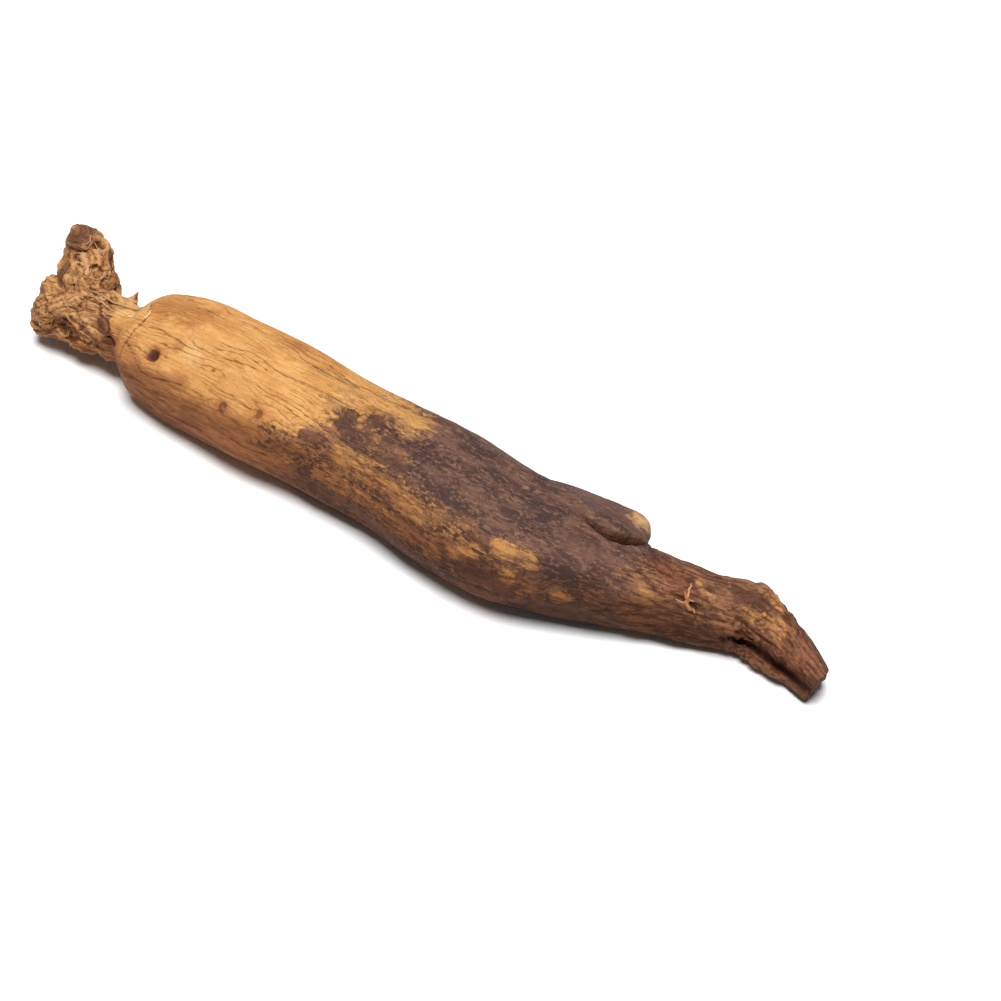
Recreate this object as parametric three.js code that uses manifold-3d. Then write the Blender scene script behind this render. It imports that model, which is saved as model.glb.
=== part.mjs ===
// A steamed and dried ginseng root, grown as one piece: a thick body that narrows into a bent leg,
// a short cut side root behind it, a strand split off along the leg, and a knotted crown of old stem scars.
// Millimetres, +Z up. It is drawn with X from the neck, where the crown meets the body, towards the leg's cut
// end, Y towards the side root, and Z = 0 on the surface that it lies on. The finished mesh is then moved
// so that the origin lies under the middle of its box.

import * as THREE from "three";
import { ImprovedNoise } from "three/addons/math/ImprovedNoise.js";
import { mergeVertices } from "three/addons/utils/BufferGeometryUtils.js";
import Module from "manifold-3d";

// Driving dimensions.
const BODY_LENGTH = 90; // from the neck to where the leg begins
const BODY_WIDTH = 19.6;
const BODY_HEIGHT = 17.4;
const LEG_WIDTH = 9.6;
const SIDE_ROOT_WIDTH = 7.4;
const STRAND_WIDTH = 4;
const CROWN_WIDTH = 9.4;
const BELLY_PRESS = 0.4; // how deep the drying tray flattened the belly
const SECTION_ROLL = THREE.MathUtils.degToRad(9); // the broad upper face leans to the front

// Stations along each limb: x, y and z of its middle, then its width and its height there.
// The leg and its strand run on past the knife that cuts them off.
const BODY_MIDDLE = BODY_HEIGHT / 2 - BELLY_PRESS;
const bodyStations = [
  [-1.2, 0.3, 0.98 * BODY_MIDDLE, 0.64 * BODY_WIDTH, 0.6 * BODY_HEIGHT],
  [0.05 * BODY_LENGTH, 0.6, 0.97 * BODY_MIDDLE, 0.85 * BODY_WIDTH, 0.86 * BODY_HEIGHT],
  [0.15 * BODY_LENGTH, 1.2, BODY_MIDDLE, 0.98 * BODY_WIDTH, 0.98 * BODY_HEIGHT],
  [0.28 * BODY_LENGTH, 1.0, BODY_MIDDLE, 1.02 * BODY_WIDTH, BODY_HEIGHT],
  [0.42 * BODY_LENGTH, 1.2, BODY_MIDDLE, 0.98 * BODY_WIDTH, 0.98 * BODY_HEIGHT],
  [0.55 * BODY_LENGTH, 1.2, BODY_MIDDLE, 0.93 * BODY_WIDTH, 0.98 * BODY_HEIGHT],
  [0.7 * BODY_LENGTH, 0.2, BODY_MIDDLE, 1.02 * BODY_WIDTH, BODY_HEIGHT],
  [0.82 * BODY_LENGTH, -0.1, 0.96 * BODY_MIDDLE, 1.02 * BODY_WIDTH, 0.95 * BODY_HEIGHT],
  [0.93 * BODY_LENGTH, 1.9, 0.86 * BODY_MIDDLE, 0.82 * BODY_WIDTH, 0.84 * BODY_HEIGHT],
  [BODY_LENGTH + 4, 4.7, 0.7 * BODY_MIDDLE, 1.28 * LEG_WIDTH, 1.18 * LEG_WIDTH],
  [BODY_LENGTH + 12, 7.5, 0.6 * BODY_MIDDLE, 1.06 * LEG_WIDTH, LEG_WIDTH],
  [BODY_LENGTH + 19, 9.4, 0.56 * BODY_MIDDLE, 0.92 * LEG_WIDTH, 0.92 * LEG_WIDTH],
  [BODY_LENGTH + 25.5, 8.3, 0.47 * BODY_MIDDLE, 0.76 * LEG_WIDTH, 0.78 * LEG_WIDTH],
  [BODY_LENGTH + 32, 6.3, 0.36 * BODY_MIDDLE, 0.54 * LEG_WIDTH, 0.56 * LEG_WIDTH],
  [BODY_LENGTH + 36, 5.0, 0.32 * BODY_MIDDLE, 0.5 * LEG_WIDTH, 0.52 * LEG_WIDTH],
];
const sideRootStations = [
  [66, 3.2, 9.0, SIDE_ROOT_WIDTH, SIDE_ROOT_WIDTH],
  [75, 6.9, 9.4, 1.08 * SIDE_ROOT_WIDTH, 1.08 * SIDE_ROOT_WIDTH],
  [82, 9.2, 8.9, SIDE_ROOT_WIDTH, 0.94 * SIDE_ROOT_WIDTH],
  [90.2, 11.8, 8.2, 0.8 * SIDE_ROOT_WIDTH, 0.72 * SIDE_ROOT_WIDTH],
];
const strandStations = [
  [99, 8.2, 3.6, STRAND_WIDTH, STRAND_WIDTH],
  [107, 8.0, 2.5, STRAND_WIDTH, STRAND_WIDTH],
  [114, 7.2, 2.1, 0.94 * STRAND_WIDTH, STRAND_WIDTH],
  [121, 6.4, 2.1, 0.9 * STRAND_WIDTH, 0.9 * STRAND_WIDTH],
  [126, 5.6, 2.3, 0.84 * STRAND_WIDTH, 0.84 * STRAND_WIDTH],
];
// The cleft parts the side root from the leg, and the split parts the strand from it.
const cleftStations = [
  [80.5, 3.6, 15.8, 0.8, 1.4],
  [84, 4.1, 14.6, 1.2, 2.6],
  [87.5, 4.2, 13.4, 1.5, 3.6],
  [90.5, 6.0, 11.8, 1.7, 4.4],
  [92.5, 9.4, 9.6, 2.0, 5.2],
  [94, 13, 8.4, 2.2, 5.6],
];
const splitStations = [
  [107, 5.6, 4.6, 1.8, 1.4],
  [111.5, 5.0, 4.3, 3.2, 2.5],
  [116, 4.6, 3.9, 3.6, 2.8],
  [120.5, 3.9, 3.4, 3.0, 2.3],
  [124, 3.4, 3.0, 1.8, 1.3],
];
const crownStations = [
  [6, 0.8, 8.0, 1.08 * CROWN_WIDTH, 1.04 * CROWN_WIDTH],
  [-0.5, 0.3, 7.7, CROWN_WIDTH, CROWN_WIDTH],
  [-6.6, 0.1, 7.1, 0.98 * CROWN_WIDTH, CROWN_WIDTH],
  [-12.4, -0.4, 6.4, 1.02 * CROWN_WIDTH, 0.98 * CROWN_WIDTH],
  [-18.2, -1.0, 5.6, 0.86 * CROWN_WIDTH, 0.86 * CROWN_WIDTH],
];
const lobeStations = [
  [-10.8, 0.4, 5.6, 1.04 * CROWN_WIDTH, 0.96 * CROWN_WIDTH],
  [-13.4, 4.2, 9.2, CROWN_WIDTH, 0.98 * CROWN_WIDTH],
  [-15.2, 6.9, 11.9, 0.84 * CROWN_WIDTH, 0.8 * CROWN_WIDTH],
  [-18.0, 9.4, 14.6, 0.62 * CROWN_WIDTH, 0.62 * CROWN_WIDTH],
];

const noise = new ImprovedNoise();

// Smooth noise, about -1 to 1, of a place that is measured in wavelengths.
function ripple(along, across, up, seed) {
  return noise.noise(along + seed, across + 2.7 * seed, up - 1.3 * seed);
}

// A closed limb along its stations: a sphere whose latitude becomes the place along the limb and whose
// longitude becomes the angle around it. Its ends are rounded over the two caps, and
// relief(place, angle, radius) raises the skin, where place is the distance along the limb.
function limb({ stations, around, along, squareness, roll = 0, startCap, endCap, relief }) {
  const END_CROWDING = 0.5; // how much closer the rows lie at the two ends
  const middle = new THREE.CatmullRomCurve3(stations.map(([x, y, z]) => new THREE.Vector3(x, y, z)));
  const halves = stations.map(([, , , width, height]) => new THREE.Vector3(width / 2, height / 2, 0));
  const girth = new THREE.CatmullRomCurve3(halves);
  const length = middle.getLength();
  const geometry = new THREE.SphereGeometry(1, around, along);
  const position = geometry.getAttribute("position");
  const uv = geometry.getAttribute("uv");
  const up = new THREE.Vector3(0, 0, 1);
  for (let i = 0; i < position.count; i++) {
    const row = 1 - uv.getY(i);
    const angle = Math.PI - 2 * Math.PI * uv.getX(i);
    const share = row - (END_CROWDING * Math.sin(2 * Math.PI * row)) / (2 * Math.PI);
    const place = share * length;
    const t = middle.getUtoTmapping(share);
    const forward = middle.getTangent(t);
    const side = up.clone().cross(forward).normalize();
    const upward = forward.clone().cross(side);
    const { x: halfWidth, y: halfHeight } = girth.getPoint(t);
    const smooth = ovalRadius(angle - roll, halfWidth, halfHeight, squareness);
    const rounding = roundEnd(place, startCap) * roundEnd(length - place, endCap);
    const radius = rounding * (smooth + relief(place, angle, smooth));
    const point = middle.getPoint(t);
    point.addScaledVector(side, radius * Math.cos(angle));
    point.addScaledVector(upward, radius * Math.sin(angle));
    position.setXYZ(i, point.x, point.y, point.z);
  }
  return geometry;
}

// From 0 at a limb's very end to 1 past its cap, along a quarter circle.
function roundEnd(distance, cap) {
  const left = Math.max(0, 1 - Math.max(0, distance) / cap);
  return Math.sqrt(1 - left * left);
}

// The radius at an angle of an oval: an exponent of 2 is an ellipse, and a higher one is squarer.
function ovalRadius(angle, halfWidth, halfHeight, exponent) {
  const across = Math.abs(Math.cos(angle) / halfWidth) ** exponent;
  const up = Math.abs(Math.sin(angle) / halfHeight) ** exponent;
  return (across + up) ** (-1 / exponent);
}

// The skin of body, leg and side root: long furrows that run with the grain, over broader lumps.
function furrowed({ furrowDepth, lumpHeight, seed }) {
  const FURROW_LENGTH = 26;
  const FURROW_WIDTH = 4;
  const LUMP_LENGTH = 17;
  const LUMP_WIDTH = 9;
  const MEAN_RIPPLE = 0.25;
  return (place, angle, radius) => {
    const y = radius * Math.cos(angle);
    const z = radius * Math.sin(angle);
    const furrows = Math.abs(ripple(place / FURROW_LENGTH, y / FURROW_WIDTH, z / FURROW_WIDTH, seed));
    const lumps = ripple(place / LUMP_LENGTH, y / LUMP_WIDTH, z / LUMP_WIDTH, seed + 5);
    return lumpHeight * lumps + furrowDepth * (furrows - MEAN_RIPPLE);
  };
}

// The crown's skin: round knots with creases between them, and a waist after each year's growth.
function knotted(place, angle, radius) {
  const YEAR = 5.2; // one year's growth along the crown
  const WAIST_DEPTH = 0.4;
  const WAIST_SLANT = 1.2;
  const KNOT_SIZE = 4.4;
  const KNOT_HEIGHT = 2.4;
  const CREASE_ROUNDING = 0.12;
  const MEAN_RIPPLE = 0.3;
  const slanted = place + WAIST_SLANT * Math.sin(angle + 0.8);
  const waist = Math.max(0, Math.cos((2 * Math.PI * slanted) / YEAR)) ** 3;
  const y = radius * Math.cos(angle);
  const z = radius * Math.sin(angle);
  const knots = Math.hypot(ripple(place / KNOT_SIZE, y / KNOT_SIZE, z / KNOT_SIZE, 3), CREASE_ROUNDING);
  return KNOT_HEIGHT * (knots - MEAN_RIPPLE) - WAIST_DEPTH * waist;
}

// A lumpy ellipsoid: a knot of old stem, or the hollow that one left.
function lump({ at, radii, seed, roughness = 0.16 }) {
  const DENTS = 1.6; // waves of roughness across one radius
  const geometry = new THREE.SphereGeometry(1, 12, 9);
  const position = geometry.getAttribute("position");
  const point = new THREE.Vector3();
  const centre = new THREE.Vector3(...at);
  const size = new THREE.Vector3(...radii);
  for (let i = 0; i < position.count; i++) {
    point.fromBufferAttribute(position, i);
    const dent = ripple(DENTS * point.x, DENTS * point.y, DENTS * point.z, seed);
    point.multiplyScalar(1 + roughness * dent).multiply(size).add(centre);
    position.setXYZ(i, point.x, point.y, point.z);
  }
  return geometry;
}

const body = limb({
  stations: bodyStations,
  around: 40,
  along: 64,
  squareness: 2.7,
  roll: SECTION_ROLL,
  startCap: 5,
  endCap: 0.8,
  relief: furrowed({ furrowDepth: 1.1, lumpHeight: 0.8, seed: 11 }),
});
const sideRoot = limb({
  stations: sideRootStations,
  around: 22,
  along: 18,
  squareness: 2.2,
  startCap: 4,
  endCap: 3.2,
  relief: furrowed({ furrowDepth: 0.5, lumpHeight: 0.3, seed: 21 }),
});
const strand = limb({
  stations: strandStations,
  around: 14,
  along: 18,
  squareness: 2.2,
  startCap: 4,
  endCap: 0.7,
  relief: furrowed({ furrowDepth: 0.3, lumpHeight: 0.2, seed: 31 }),
});
const split = limb({
  stations: splitStations,
  around: 12,
  along: 14,
  squareness: 2,
  startCap: 2,
  endCap: 1,
  relief: () => 0,
});
const cleft = limb({
  stations: cleftStations,
  around: 12,
  along: 18,
  squareness: 2,
  startCap: 2,
  endCap: 1,
  relief: () => 0,
});
const crown = limb({
  stations: crownStations,
  around: 40,
  along: 34,
  squareness: 2.3,
  startCap: 2,
  endCap: 3,
  relief: knotted,
});
const lobe = limb({
  stations: lobeStations,
  around: 36,
  along: 28,
  squareness: 2.1,
  startCap: 4,
  endCap: 2.4,
  relief: knotted,
});

// Knots of old stems on the crown, and the hollow scars that the stems left when they fell.
const knots = [
  { at: [-15.6, -1.4, 5.6], radii: [3.9, 3.2, 3.4], seed: 41 },
  { at: [-11.2, 5.0, 8.6], radii: [3.6, 3.2, 3.4], seed: 43 },
  { at: [-13.6, 7.7, 12.7], radii: [2.2, 2.3, 2.5], seed: 42 },
  { at: [-16.8, 7.4, 14.8], radii: [1.9, 1.9, 2.2], seed: 48 },
  { at: [-10.4, 5.0, 10.2], radii: [2.6, 2.4, 2.6], seed: 49 },
  { at: [-8.0, -1.8, 4.2], radii: [2.8, 2.4, 2.2], seed: 45 },
  { at: [-16.4, -2.4, 4.0], radii: [2.6, 2.4, 2.4], seed: 46 },
  { at: [-17.0, 1.2, 7.2], radii: [2.9, 2.8, 3.0], seed: 47 },
].map(lump);
const scars = [
  { at: [-11.4, -4.8, 6.6], radii: [1.7, 1.5, 1.5], seed: 51, roughness: 0.1 },
  { at: [-12.4, 7.2, 15.0], radii: [1.1, 1.2, 1.1], seed: 52, roughness: 0.1 },
  { at: [-19.0, -3.4, 7.0], radii: [1.4, 1.3, 1.3], seed: 53, roughness: 0.1 },
].map(lump);

// A splinter of rootlet that stands up from the neck and leans towards the body.
const SPLINTER_LENGTH = 5;
const SPLINTER_RADIUS = 1.1;
const SPLINTER_LEAN = 0.5;
const splinter = new THREE.ConeGeometry(SPLINTER_RADIUS, SPLINTER_LENGTH, 8);
splinter.rotateX(Math.PI / 2);
splinter.rotateY(SPLINTER_LEAN);
splinter.translate(-2.4, 4.1, 12.0);

// The tray that the root dried on, which pressed its belly flat.
const TRAY_SIZE = 400;
const tray = new THREE.BoxGeometry(TRAY_SIZE, TRAY_SIZE, TRAY_SIZE);
tray.translate(0, 0, -TRAY_SIZE / 2);

// The knife that cut the leg and the strand off, slanting under itself.
const KNIFE_SIZE = 40;
const KNIFE_SLANT = 0.34;
const knife = new THREE.BoxGeometry(KNIFE_SIZE, KNIFE_SIZE, KNIFE_SIZE);
knife.translate(KNIFE_SIZE / 2, 0, 0);
knife.rotateY(KNIFE_SLANT);
knife.translate(122.6, 6.2, 3.4);

const wasm = await Module();
wasm.setup();

function solid(geometry) {
  geometry.deleteAttribute("normal");
  geometry.deleteAttribute("uv");
  const merged = mergeVertices(geometry, 1e-4);
  const vertProperties = merged.getAttribute("position").array;
  const triVerts = new Uint32Array(merged.index.array);
  return new wasm.Manifold(new wasm.Mesh({ numProp: 3, vertProperties, triVerts }));
}

function geometryOf(manifold) {
  const { vertProperties, triVerts } = manifold.getMesh();
  return new THREE.BufferGeometry()
    .setAttribute("position", new THREE.BufferAttribute(vertProperties, 3))
    .setIndex(new THREE.BufferAttribute(triVerts, 1));
}

let root = solid(body);
for (const grown of [sideRoot, strand, crown, lobe, ...knots, splinter]) {
  root = root.add(solid(grown));
}
for (const cut of [split, cleft, ...scars, knife, tray]) {
  root = root.subtract(solid(cut));
}

const skin = new THREE.MeshStandardMaterial({ color: 0x9a6b42, roughness: 0.62, metalness: 0 });
const mesh = new THREE.Mesh(geometryOf(root), skin);
mesh.name = "ginseng_root";
mesh.geometry.computeBoundingBox();
const centre = mesh.geometry.boundingBox.getCenter(new THREE.Vector3());
mesh.position.set(-centre.x, -centre.y, 0);

const part = new THREE.Group();
part.add(mesh);
export default part;
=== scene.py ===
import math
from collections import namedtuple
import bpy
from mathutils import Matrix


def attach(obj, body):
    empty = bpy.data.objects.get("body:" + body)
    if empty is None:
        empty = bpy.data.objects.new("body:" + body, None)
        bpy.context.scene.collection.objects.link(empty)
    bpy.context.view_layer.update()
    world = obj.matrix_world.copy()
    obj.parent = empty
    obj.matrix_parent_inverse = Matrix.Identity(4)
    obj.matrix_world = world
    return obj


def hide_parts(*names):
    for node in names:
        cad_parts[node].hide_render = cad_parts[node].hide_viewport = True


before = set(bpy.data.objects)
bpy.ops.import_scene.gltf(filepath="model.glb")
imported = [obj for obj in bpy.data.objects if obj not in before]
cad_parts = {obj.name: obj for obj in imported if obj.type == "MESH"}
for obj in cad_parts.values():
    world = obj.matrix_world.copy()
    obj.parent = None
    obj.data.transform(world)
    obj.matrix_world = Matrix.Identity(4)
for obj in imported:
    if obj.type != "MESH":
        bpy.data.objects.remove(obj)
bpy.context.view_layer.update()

# The look of a steamed and dried ginseng root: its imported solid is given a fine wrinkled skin, gold on the
# shoulder, scabby brown along the middle, grey-purple by the side root and dark on the leg, with a scaly
# crown. Lengths are in millimetres unless a comment says otherwise. Places are given as the solid was
# drawn: X from the neck towards the leg, Y towards the side root, Z up from the surface that it lies on.

from types import SimpleNamespace

import bmesh
import bpy
import numpy as np
from mathutils import Vector
from mathutils.bvhtree import BVHTree

MM = 0.001  # in metres
NECK = np.array((-51.841, -1.809, 0.0))  # where the drawing's origin lies in the row frame

# The studio and the camera.
FLOOR_SIZE = 40  # metres, so that its edge lies at the horizon
FLOOR_COLOUR = (240, 240, 240)
LIGHT_FROM = (0.05, -0.07, 0.55)
LIGHT_WIDTH = math.radians(30)  # wide, for soft shadows
LIGHT_STRENGTH = 4.9
SKY_STRENGTH = 0.1
CAMERA_TARGET = (68.0, 4.8, 8.3)
CAMERA_AZIMUTH = math.radians(37)
CAMERA_ELEVATION = math.radians(44)
CAMERA_DISTANCE = 0.43  # metres
CAMERA_LENS = 105.93
CAMERA_NEAR = 0.01  # metres

# The mesh of the skin.
SKIN_STEP = 0.41  # the size of its faces, halved on the crown and the knee
CROWN_END = 1  # X of the crown's last fine faces
KNEE = (104, 117)  # X of the knee's first and last fine faces
SMOOTH_PASSES = 14  # rounds the solid's facets off the body
CRISP_PASSES = 4  # and fewer passes keep the crown, the clefts and the cut end crisp
SMOOTH_SHARE = 0.5  # of the way to the neighbours' middle in a pass
TIP = (116, 120)  # X where the cut end begins, and where it is fully crisp
CLEFT_EDGE = (2, 4)  # how far from a cleft the skin is fully and partly crisp

# Wrinkles that run with the grain all round a limb: how many there are, how far they bend to and fro, and
# the patches that they come in. Bends and widths are in spacings. Ink is the dark line in each wrinkle.
WRINKLES = {
    "long": SimpleNamespace(
        count=52, bend=1.1, waves=(10, 3.2), seed=31, patches=(13, 2.2), patch_seed=1,
        half_width=0.32, depth=0.115, ink_width=0.09, ink=1.0,
    ),
    "short": SimpleNamespace(
        count=83, bend=1.3, waves=(7, 2.6), seed=35, patches=(8, 1.8), patch_seed=2,
        half_width=0.4, depth=0.08, ink_width=0.16, ink=0.75,
    ),
}
BEND_OCTAVES = ((1, 1), (2.1, 0.5), (5.3, 0.25))  # how fine each part of a bend is, and how strong
PATCH_EDGE = (-0.1, 0.2)  # the noise where wrinkles begin, and where they are whole
LEG_WRINKLE_DEPTH = 0.07  # how much deeper the long ones are on the leg
BLOOM_CALM = 0.75  # the share that the grey-purple skin loses

# The rest of the relief: the lengths of its waves along and across the grain, its seed and its height.
Relief = namedtuple("Relief", "waves seed height")
LUMPS = Relief((7, 3.2), 3, 0.1)
SCABS = Relief((3.2, 1.7), 4, 0.07)
FURROWS = Relief((12, 1.7), 5, 0.8)
CROSS_FOLDS = Relief((2.0, 3.0), 6, 0.6)
RIBS = Relief((9, 0.85), 7, 0.3)
CRUMBS = Relief((1.0, 0.75), 8, 0.7)
CROWN_FOLDS = Relief((5.0, 2.3), 14, 0.5)
CROWN_FIBRES = Relief((4.2, 0.8), 15, 0.14)
CROWN_GRIT = Relief((0.6, 0.6), 16, 0.04)
SCAB_EDGE = (0, 0.25)  # as PATCH_EDGE, for scabs
LEG_SCAB_HEIGHT = 0.12  # how much higher scabs are on the leg
RIDGE_LEVEL = 0.25  # the mean height of the furrowed noise
KNEE_START = (105, 109)  # X over which the crumbs of the knee begin
KNEE_END = (112, 116)  # and over which they end
TIP_CALM = 0.35  # the share of the leg's relief that the cut end loses
CREST_SHARPNESS = 1.6  # narrows the crown's fibres to crests
CREST_LEVEL = 0.4  # their mean
CROWN_WANDER = 1.3  # how far the crown's grain strays
WANDER_WAVES = 3.4
WANDER_SEEDS = (11, 12, 13)
LOBE_SHIFT = (60, 20, 20)  # keeps the lobe's pattern apart from the stem's
CROWN_SMOOTHING = 0.3

# Crumpled plates of the crown: their lean, the depth of their seams, and their share in the colour.
CROWN_PLATES = [
    SimpleNamespace(waves=(4.2, 2.2), seed=17, lean=0.24, seam=0.12, tone=0.6),
    SimpleNamespace(waves=(2.2, 0.95), seed=18, lean=0.1, seam=0.07, tone=0.4),
]
LEAN_SEED = 100  # added to the seed for leans and tones
SEAM_WIDTH = 0.13  # in plates

# The X or Y between which each kind of skin fades in or out, and how the edges slant.
CROWN_EDGE = (-4.5, 0.5)
CROWN_SLANT = 0.25
CROWN_LEVEL = 9
LEG_EDGE = (87, 99)
LEG_SLANT = 0.3
BARK_START = 38
BARK_SLANT = 0.9
BARK_LEVEL = -8
BARK_EDGE = (-11, 9)
BARK_WAVES = Relief((10, 5), 21, 4)
BLOOM_EDGE = (44, 64)
BLOOM_SLANT = 0.5
BLOOM_FRONT = (-8.6, -4.6)
BLOOM_TURN = 0.05
BLOOM_PIVOT = 65
# The same round a line: distances at which a kind of skin is whole, and at which it ends.
SIDE_ROOT_EDGE = (4.5, 6.5)
STRAND_EDGE = (0.5, 1.5)
SPLIT_FLOOR_EDGE = (0.8, 1.6)
# Painted shade on the flanks, by how far the skin faces up, and the shares of it that other skins are
# spared.
FLANK_EDGE = (-0.4, 1.0)
BELLY_EDGE = (-0.9, -0.2)
BELLY_SHADE = 0.5
SPARED_CROWN = 0.35
SPARED_SHADE = 0.8
# Painted shade in hollows: how many passes level the skin that they are measured from, and the share of the
# shade that is spared.
PAINTED_HOLLOW_SHADE = {"hollow": (3, 0.6), "basin": (14, 0.8)}

# The middles of the body with its leg, of the side root, and of the crown and its raised lobe.
BODY_LINE = [
    (-20, -1, 6), (-10, 0, 7), (-1.2, 0.3, 8.1), (13.5, 1.2, 8.3), (37.8, 1.2, 8.3), (63, 0.2, 8.3),
    (73.8, -0.1, 8), (83.7, 1.9, 7.1), (94, 4.7, 5.8), (102, 7.5, 5), (109, 9.4, 4.6), (115.5, 8.3, 3.9),
    (122, 6, 3),
]
SIDE_ROOT_LINE = [(82, 9.2, 8.9), (90.2, 11.8, 8.2)]
CROWN_LINE = [(6, 0.8, 8), (-6.6, 0.1, 7.1), (-18.2, -1, 5.6)]
LOBE_LINE = [(-10.8, 0.4, 5.6), (-13.4, 4.2, 9.2), (-15.2, 6.9, 11.9), (-18, 9.4, 14.6)]

# Places and lines on the skin.
SHOULDER_PIT = (10.3, -6.1, 13.8)
FLANK_PIT = (25.7, -8.1, 12.9)
SHOULDER_CREASE = [
    (4.1, -5.4, 13), (7.2, -7, 12.7), (9.4, -8.1, 11.3), (11.6, -8.3, 11.3), (14.5, -8, 12.2),
    (17.3, -7.8, 12.6),
]
SIDE_ROOT_CLEFT = [
    (80.5, 3.6, 15.8), (84, 4.1, 14.6), (87.5, 4.2, 13.4), (90.5, 6, 11.8), (92.5, 9.4, 9.6),
]
SPLIT = [(107.5, 6, 4.6), (112, 5.9, 4.4), (116, 5.4, 4.1), (120.5, 4.6, 3.7)]
SPLIT_FLOOR = [(108.9, 6.3, 3.9), (112.1, 6.3, 3.5), (114.9, 6.2, 3.3), (118.2, 5.6, 2.9), (121, 4.6, 2.5)]
SPLIT_STRAND = [
    (108.7, 5.2, 2.8), (110.8, 5.7, 1.8), (114.2, 5.4, 1.6), (117.6, 4.8, 1.8), (121.2, 4.1, 2.3),
]

# Creases in the skin: the points that each runs through, its half width and its depth.
NECK_CREASE = [
    (3.2, 1.8, 15), (4, 0.6, 15.2), (4.7, -0.8, 15.1), (4.8, -2, 14.8), (4.3, -4, 13.9), (4.1, -5.4, 13),
    (4.5, -7.5, 11.1), (4.6, -8.6, 8),
]
STEM_CREASE = [
    (-9.3, 0.1, 11.3), (-5.6, -0.8, 12.2), (-4.5, -1.8, 11.4), (-3.4, -2, 11.1), (-0.9, -4.2, 9.8),
]
CROWN_FRONT_CREASE = [
    (-12.9, -4.4, 6.9), (-11.1, -4.3, 8.6), (-9.4, -3.7, 9.3), (-7.2, -4.1, 9.3), (-5.9, -4.3, 7.5),
]
CREASES = [
    (SHOULDER_CREASE, 0.28, 0.2),
    (NECK_CREASE, 0.3, 0.22),
    ([(83.6, 1.6, 14.6), (87.4, 2.4, 13.7)], 0.3, 0.3),
    ([(99.6, 3, 10), (101.5, 3.5, 9.3), (103, 3.6, 8.4)], 0.45, 0.7),
    ([(109.4, 5.2, 6.4), (111.3, 5.5, 5.7), (113.9, 5.4, 5.4)], 0.4, 0.4),
    (SPLIT_FLOOR, 0.85, 0.4),
    ([(-14.3, 6.2, 15.7), (-12.9, 5.9, 15), (-11.6, 5.3, 14.2)], 0.3, 0.6),
    ([(-13.4, 3.1, 13.8), (-11.7, 3.4, 13.2), (-11.1, 4.7, 13.4)], 0.28, 0.5),
    ([(-16.6, 4.4, 14.5), (-14.8, 4.7, 14.4)], 0.3, 0.5),
    ([(-16.9, -3.2, 9), (-15.9, -2.8, 9.7), (-15.2, -1.7, 10.1)], 0.28, 0.5),
    ([(-15.5, -4.7, 8.1), (-15.4, -4.6, 4.8)], 0.2, 0.3),
    ([(-14.8, -3.3, 9.6), (-14.2, -4.4, 8.3)], 0.2, 0.3),
    (STEM_CREASE, 0.35, 0.6),
    ([(-10.1, 1.7, 11.3), (-6.8, 0.7, 12.1), (-4.4, 0.5, 12), (-2.1, 1, 11.9)], 0.22, 0.35),
    ([(-3.9, -2.9, 10.5), (-0.9, -4.2, 9.8), (-0.1, -4, 8.6)], 0.5, 0.6),
    (CROWN_FRONT_CREASE, 0.35, 0.5),
]
# Raised folds of fibre on the crown, crumbs on the leg, and a swelling that narrows the side root's cleft.
FOLDS = [
    ([(-13.3, -3.9, 9.3), (-11.1, -2.7, 11), (-9.7, -1.2, 11.5)], 0.35, 0.4),
    ([(-9.9, 2.2, 11.6), (-8.6, 3.2, 10.4), (-4.8, 1.6, 12.4)], 0.3, 0.35),
    ([(-7.3, -2.4, 10.7), (-3.9, -2.9, 10.5)], 0.35, 0.35),
    ([(-14.6, 7.6, 15.6), (-13.1, 9, 14.4), (-11.6, 8.1, 13.6), (-12.4, 6.6, 14.6)], 0.4, 0.4),
    ([(101.4, 6.9, 9.7), (102.4, 6.3, 9.6)], 0.45, 0.4),
    ([(103.3, 6, 9.4), (104.4, 6.2, 9.2)], 0.5, 0.35),
    ([(83.7, 4.5, 13.8), (85.9, 4.6, 13), (88.1, 5.2, 12.2), (90, 6.7, 11.3)], 0.9, 0.5),
]
# Pits left by rootlets and fallen stems: middle, radius and depth.
PITS = [
    (SHOULDER_PIT, 1.15, 0.8),
    (FLANK_PIT, 1.0, 0.35),
    ((32.2, -7.1, 14.2), 0.8, 0.25),
    ((21.3, -4.6, 15.5), 0.4, 0.15),
    ((107.3, 4.5, 4.1), 0.6, 0.35),
    ((101.5, 5.7, 9.7), 0.45, 0.4),
    ((-12.8, 7.8, 14.8), 0.9, 0.6),
    ((-9.7, -4.3, 7.1), 1.9, 0.6),
]
RIM_HEIGHT = 0.2  # of a pit's rim, as a share of its depth
RIM_PLACE = 1.5  # in radii
RIM_WIDTH = 0.35
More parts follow.
